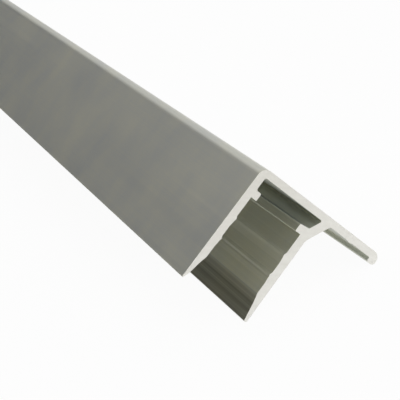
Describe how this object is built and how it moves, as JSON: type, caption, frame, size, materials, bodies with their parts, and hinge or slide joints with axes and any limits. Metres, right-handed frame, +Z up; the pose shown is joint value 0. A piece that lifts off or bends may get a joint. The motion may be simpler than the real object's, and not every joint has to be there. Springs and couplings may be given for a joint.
{
  "type": "aluminium extrusion profile",
  "caption": "Length of L-shaped aluminium edging with a barbed slot that takes a board's edge and a flange with a rounded bead.",
  "frame": {"origin": "centre of the bounding box's base, on the floor that the profile rests on", "axes": "+Z up from that floor, +Y along the length away from the pictured end, +X towards the bead"},
  "size_m": [0.0362, 1, 0.0258],
  "materials": {
    "aluminium": "mill finish with fine lines along the length, sawn ends"
  },
  "bodies": {
    "root": {"profile": "aluminium"}
  },
  "joints": []
}
